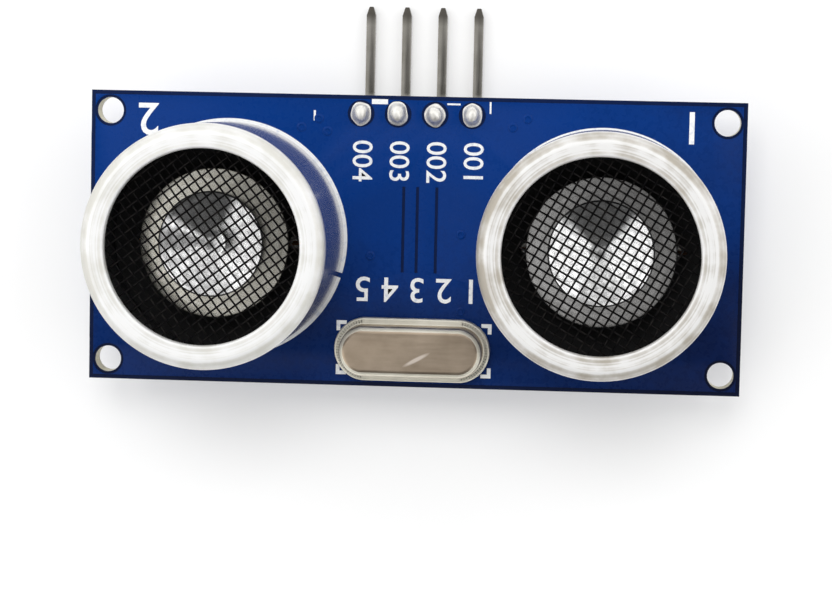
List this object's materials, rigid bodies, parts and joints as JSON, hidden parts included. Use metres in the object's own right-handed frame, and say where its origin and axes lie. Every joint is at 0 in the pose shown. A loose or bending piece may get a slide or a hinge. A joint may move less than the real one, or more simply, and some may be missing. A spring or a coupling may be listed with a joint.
{
  "type": "ultrasonic distance sensor",
  "caption": "Ultrasonic ranging module: a blue circuit board with open aluminium transducers behind wire screens, a quartz crystal can and a row of bent header pins.",
  "frame": {"origin": "on the surface that the module lies on, under the middle of its outline (board and header pins together)", "axes": "+Z is the sensing direction, square to the board; +Y leads from the crystal to the header pins; +X runs along the board's length"},
  "size_m": [0.045, 0.0262, 0.0185],
  "materials": {
    "board": "glossy blue solder mask on glass-fibre laminate",
    "can": "satin drawn aluminium",
    "screen": "dark woven wire",
    "cone": "bright pressed aluminium",
    "diaphragm": "dull metal disc",
    "ceramic": "fired piezo ceramic",
    "silicone": "white silicone",
    "base": "black moulding",
    "terminal": "tinned wire",
    "wire": "bare copper wire",
    "solder": "bright solder",
    "block": "black moulding",
    "pin": "tinned square pin",
    "crystal": "satin nickel plate",
    "crystal_base": "nickel plate",
    "quartz": "thin quartz strip",
    "package": "black moulded epoxy with tinned leads",
    "resistor": "black film on ceramic with tinned ends",
    "capacitor": "tan ceramic with tinned ends"
  },
  "bodies": {
    "root": {"circuit_board": "board", "left_can": "can", "left_screen": "screen", "left_cone": "cone", "left_diaphragm": "diaphragm", "left_ceramic_disc": "ceramic", "left_support_ring": "silicone", "left_base": "base", "left_terminal_1": "terminal", "left_terminal_2": "terminal", "left_wire_1": "wire", "left_wire_2": "wire", "left_terminal_solder_1": "solder", "left_terminal_solder_2": "solder", "right_can": "can", "right_screen": "screen", "right_cone": "cone", "right_diaphragm": "diaphragm", "right_ceramic_disc": "ceramic", "right_support_ring": "silicone", "right_base": "base", "right_terminal_1": "terminal", "right_terminal_2": "terminal", "right_wire_1": "wire", "right_wire_2": "wire", "right_terminal_solder_1": "solder", "right_terminal_solder_2": "solder", "header_block": "block", "header_pin_1": "pin", "header_pin_2": "pin", "header_pin_3": "pin", "header_pin_4": "pin", "header_solder_1": "solder", "header_solder_2": "solder", "header_solder_3": "solder", "header_solder_4": "solder", "crystal_can": "crystal", "crystal_base": "crystal_base", "crystal_lead_1": "terminal", "crystal_lead_2": "terminal", "crystal_solder_1": "solder", "crystal_solder_2": "solder", "crystal_blank": "quartz", "driver_chip": "package", "amplifier_chip": "package", "controller_chip": "package", "transistor": "package", "resistor_1": "resistor", "resistor_2": "resistor", "resistor_3": "resistor", "resistor_4": "resistor", "resistor_5": "resistor", "resistor_6": "resistor", "resistor_7": "resistor", "capacitor_1": "capacitor", "capacitor_2": "capacitor", "capacitor_3": "capacitor", "capacitor_4": "capacitor"}
  },
  "joints": []
}
